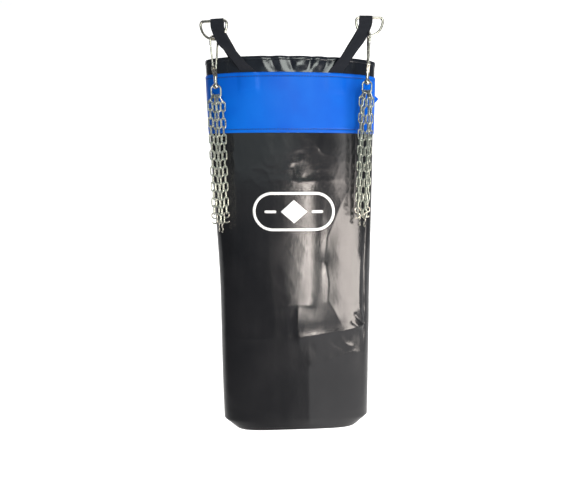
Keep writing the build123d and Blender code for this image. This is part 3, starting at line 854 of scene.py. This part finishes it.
def strap_stations(side):
    """Middle points, width directions and half widths down one webbing, from front foot to rear foot."""
    angle = math.radians(RING_TURN[side])
    bar_way = np.array([math.cos(angle), math.sin(angle), 0.0])
    bar_out = np.array([-math.sin(angle), math.cos(angle), 0.0])
    bar = np.array([side * RING_X, RING_Y, RING_Z[side] + BAR_HEIGHT]) - bar_way * side * WEB_ON_BAR
    around = RING_WIRE + 0.00015 + WEB_THICKNESS / 2
    wide, narrow = WEB_WIDTH / 2, WEB_ABOVE_RIM / 2
    stations = []
    for z in (BAND_TOP - FOOT_DEPTH + 0.002, BAND_TOP - 0.016, BAND_TOP + 0.001):
        point, width = foot_point(side, 1, z, FOOT_OFFSET)
        stations.append((point, width, wide))
    foot = stations[-1][0]
    below = bar - bar_out * around - bar_way * side * 0.014 - np.array([0.0, 0.0, BAR_HEIGHT + 0.009])
    tilt = np.array([0.0, 0.0, 0.10 if side > 0 else -0.22])
    for share in (0.30, 0.65):
        point = foot * (1 - share) + below * share + np.array([0.0, -0.0015, 0.0])
        width = stations[2][1] * (1 - share) + bar_way * share + tilt * math.sin(math.pi * share)
        stations.append((point, width / np.linalg.norm(width), wide * (1 - share) + narrow * share))
    stations.append((below, bar_way, narrow))
    for height in (-0.014, 0.0):
        stations.append((bar - bar_out * around + np.array([0.0, 0.0, height]), bar_way, narrow))
    for degrees in (30, 60, 90, 120, 150):
        a = math.radians(degrees)
        lift = np.array([0.0, 0.0, math.sin(a)])
        stations.append((bar - bar_out * around * math.cos(a) + lift * around, bar_way, narrow))
    for height in (0.0, -0.014):
        stations.append((bar + bar_out * around + np.array([0.0, 0.0, height]), bar_way, narrow))
    rim_y = float(on_skin(turn_at(side * FRONT_FOOT_X, HEIGHT - 0.004), HEIGHT - 0.004, 0.0)[1])
    rim = np.array([side * (REAR_FOOT_X + 0.006), -rim_y * 0.97 + 0.001, HEIGHT + 0.006])
    rear_width = foot_point(side, -1, BAND_TOP + 0.001, FOOT_OFFSET)[1]
    bar_rear = stations[-1][0]
    for share in (0.45, 0.80):
        point = bar_rear * (1 - share) + rim * share - np.array([0.0, 0.0, 0.003 * math.sin(math.pi * share)])
        width = bar_way * (1 - share) + rear_width * share
        stations.append((point, width / np.linalg.norm(width), narrow))
    stations.append((rim, rear_width, narrow))
    for z in (HEIGHT - 0.012, BAND_TOP + 0.001, BAND_TOP - 0.016, BAND_TOP - FOOT_DEPTH + 0.002):
        point, width = foot_point(side, -1, z, 0.0022 if z > BAND_TOP + 0.005 else FOOT_OFFSET)
        stations.append((point, width, wide if z < HEIGHT - 0.02 else (wide + narrow) / 2))
    return stations


def spline_through(values, per_span):
    """Catmull-Rom samples through rows of values, spaced by chord length."""
    values = np.asarray(values, float)
    padded = np.vstack([2 * values[0] - values[1], values, 2 * values[-1] - values[-2]])
    samples = []
    for i in range(1, len(padded) - 2):
        p0, p1, p2, p3 = padded[i - 1:i + 3]
        knots = np.cumsum([0.0] + [max(np.linalg.norm(b[:3] - a[:3]), 1e-6) ** 0.5
                                   for a, b in ((p0, p1), (p1, p2), (p2, p3))])
        t0, t1, t2, t3 = knots
        for t in np.linspace(t1, t2, per_span, endpoint=False):
            a1 = (t1 - t) / (t1 - t0) * p0 + (t - t0) / (t1 - t0) * p1
            a2 = (t2 - t) / (t2 - t1) * p1 + (t - t1) / (t2 - t1) * p2
            a3 = (t3 - t) / (t3 - t2) * p2 + (t - t2) / (t3 - t2) * p3
            b1 = (t2 - t) / (t2 - t0) * a1 + (t - t0) / (t2 - t0) * a2
            b2 = (t3 - t) / (t3 - t1) * a2 + (t - t1) / (t3 - t1) * a3
            samples.append((t2 - t) / (t2 - t1) * b1 + (t - t1) / (t2 - t1) * b2)
    samples.append(values[-1])
    return np.array(samples)


def strap(side):
    """One webbing, a flat woven strip with thick selvedges."""
    rows = [np.concatenate([point, width, [half]]) for point, width, half in strap_stations(side)]
    path = spline_through(rows, 7)
    points, widths, halves = path[:, :3], path[:, 3:6], path[:, 6]
    ways = np.gradient(points, axis=0)
    ways /= np.linalg.norm(ways, axis=1, keepdims=True)
    widths /= np.linalg.norm(widths, axis=1, keepdims=True)
    normals = np.cross(widths, ways)
    normals /= np.linalg.norm(normals, axis=1, keepdims=True)
    thick = WEB_THICKNESS / 2
    outline_half = [(-1.0, 0.0), (-0.985, 0.75), (-0.93, 1.0), (-0.86, 0.78), (-0.5, 0.86), (0.0, 0.90),
                    (0.5, 0.86), (0.86, 0.78), (0.93, 1.0), (0.985, 0.75), (1.0, 0.0)]
    section = outline_half + [(a, -b) for a, b in outline_half[-2:0:-1]]
    vertices = []
    for point, width, normal, half in zip(points, widths, normals, halves):
        for across, up in section:
            vertices.append(point + width * half * across + normal * thick * up)
    rings, size = len(points), len(section)
    faces = grid_faces(rings, size, close_columns=True)
    faces.append(tuple(range(size))[::-1])
    faces.append(tuple((rings - 1) * size + k for k in range(size)))
    piece = new_object(f"webbing_{SIDES[side]}", vertices, faces, WEBBING)
    steps = np.concatenate([[0.0], np.cumsum(np.linalg.norm(np.diff(points, axis=0), axis=1))])
    layer = piece.data.uv_layers.new(name="strap_map")
    for loop in piece.data.loops:
        ring, k = divmod(loop.vertex_index, size)
        layer.data[loop.index].uv = (steps[ring], section[k][0] * halves[ring])
    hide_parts(f"strap_loop_{SIDES[side]}")
    return piece


# ---- metal parts stay the CAD's, with their finish ----

def finish_metal():
    for name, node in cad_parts.items():
        if node.hide_render:
            continue
        metal = CHAIN_STEEL if name.startswith(("chain_strand", "connector_link")) else PLATED_STEEL
        node.data.materials.clear()
        node.data.materials.append(metal)


# ---- stage, lights and camera ----

FLOOR_Z = -0.30
WALL_Y = 1.90
SWEEP_CURVE = 0.60
STAGE_REACH = 3.2
STAGE_TOP = 3.4
STAGE_HALF_WIDTH = 4.6
PAINTED_SHADE_FLOOR_Y = -0.48          # the floor is painted dark in front of this, as painted shade
PANEL_DISTANCE = 1.25
WARM, COOL = (1.0, 0.91, 0.84), (0.84, 1.0, 1.0)
SOFT, GREENISH = (1.0, 0.97, 0.95), (0.94, 1.0, 0.94)
ROOM_TINT, ROOM_STRENGTH = (0.92, 0.95, 1.0, 1.0), 0.16
LENS = 23.55
SENSOR = 36.0
EYE = (-0.045, -1.02, 0.753)
EYE_TILT = 11.5               # degrees down from level
EYE_PAN = -2.5

def plain_backdrop():
    """Pale paper that sweeps up into a wall; the floor in front on the left is dark in the vinyl. The floor's
    colour is painted shade, darker towards the front, and the paper glows with painted light towards the back
    and on the right, though it is no lamp.
    """
    n = Nodes("studio_paper")
    place = n.add("ShaderNodeSeparateXYZ", Vector=n.where).outputs
    # painted shade: the floor's colour goes from dark in front to pale towards the back
    near = n.between(place["Y"], 0.0, 1.0, PAINTED_SHADE_FLOOR_Y, 0.0)
    painted_shade_tone = n.ramp(near, [(0.0, (0.13, 0.13, 0.135)), (1.0, (0.90, 0.90, 0.90))])
    # painted light: the paper glows towards the back and on the right, though it is no lamp
    back_painted_light = n.between(place["Y"], 0.0, 0.62, PAINTED_SHADE_FLOOR_Y, 0.0)
    right_painted_light = n.between(place["X"], 0.0, 0.80, 0.03, 0.15)
    glow = n.combine("MAXIMUM", back_painted_light, right_painted_light)
    white = (1.0, 1.0, 1.0, 1.0)
    paper = n.finish(Base_Color=painted_shade_tone, Roughness=0.95, Emission_Color=white, Emission_Strength=glow)
    bend_y = WALL_Y - SWEEP_CURVE
    profile = [(-STAGE_REACH, FLOOR_Z), (bend_y, FLOOR_Z)]
    for k in range(1, 13):
        a = k * math.pi / 24
        height = FLOOR_Z + SWEEP_CURVE - SWEEP_CURVE * math.cos(a)
        profile.append((bend_y + SWEEP_CURVE * math.sin(a), height))
    profile.append((WALL_Y, STAGE_TOP))
    vertices = [(x, y, z) for y, z in profile for x in (-STAGE_HALF_WIDTH, STAGE_HALF_WIDTH)]
    faces = [(2 * i, 2 * i + 1, 2 * i + 3, 2 * i + 2) for i in range(len(profile) - 1)]
    mesh = bpy.data.meshes.new("studio_sweep")
    mesh.from_pydata(vertices, [], faces)
    mesh.shade_smooth()
    mesh.materials.append(paper)
    sweep = bpy.data.objects.new("studio_sweep", mesh)
    bpy.context.scene.collection.objects.link(sweep)


def panel(name, place, target, size, power, colour=(1.0, 1.0, 1.0)):
    """Rectangular soft light that faces its target."""
    data = bpy.data.lights.new(name, "AREA")
    data.shape = "RECTANGLE"
    data.size, data.size_y = size
    data.energy = power
    data.color = colour
    lamp = bpy.data.objects.new(name, data)
    lamp.location = place
    lamp.rotation_euler = (Vector(target) - Vector(place)).to_track_quat("-Z", "Y").to_euler()
    lamp.visible_camera = False
    bpy.context.scene.collection.objects.link(lamp)


def round_panel(name, azimuth, middle, heights, size, power, colour):
    """Panel on a circle round a point of the bag; heights are the panel's own and its target's."""
    a = math.radians(azimuth)
    x = middle[0] + PANEL_DISTANCE * math.sin(a)
    y = middle[1] - PANEL_DISTANCE * math.cos(a)
    panel(name, (x, y, heights[0]), (*middle, heights[1]), size, power, colour)


def studio_lights():
    near, far, front, mouth = (0.040, -0.06), (0.130, -0.05), (0.0, -0.06), (0.02, -0.06)
    round_panel("narrow_strip", 7.9, near, (0.28, 0.28), (0.064, 0.74), 7.2, WARM)
    round_panel("broad_panel", 38.3, far, (0.27, 0.27), (0.65, 0.78), 20.5, WARM)
    round_panel("upper_glow", 38.0, far, (0.86, 0.86), (0.44, 0.36), 1.3, SOFT)
    round_panel("collar_light", 7.0, mouth, (1.30, 0.985), (0.80, 0.40), 9.0, GREENISH)
    panel("overhead", (0.0, -0.1, 2.6), (0.0, 0.0, 0.3), (1.6, 1.2), 12.0)
    round_panel("left_glow", -20.0, front, (0.86, 0.86), (1.15, 0.40), 0.75, COOL)
    panel("back_left", (-1.5, 1.2, 1.1), (0.0, 0.0, 0.5), (0.5, 1.2), 7.0)


def dim_room():
    world = bpy.data.worlds.new("room")
    world.use_nodes = True
    background = world.node_tree.nodes["Background"]
    background.inputs["Color"].default_value = ROOM_TINT
    background.inputs["Strength"].default_value = ROOM_STRENGTH
    bpy.context.scene.world = world


def camera():
    data = bpy.data.cameras.new("camera")
    data.lens = LENS
    data.sensor_width = SENSOR
    eye = bpy.data.objects.new("camera", data)
    eye.location = EYE
    eye.rotation_euler = (math.radians(90.0 - EYE_TILT), 0.0, math.radians(EYE_PAN))
    bpy.context.scene.collection.objects.link(eye)
    bpy.context.scene.camera = eye


camera()
plain_backdrop()
studio_lights()
dim_room()
bag_wall()
bag_bottom()
bag_collar()
bag_rim()
bag_band()
band_stitches()
band_tab()
seam_strip()
bottom_stitches()
emblem()
for each_side in SIDES:
    strap(each_side)
finish_metal()
bpy.context.scene.view_settings.view_transform = "Standard"
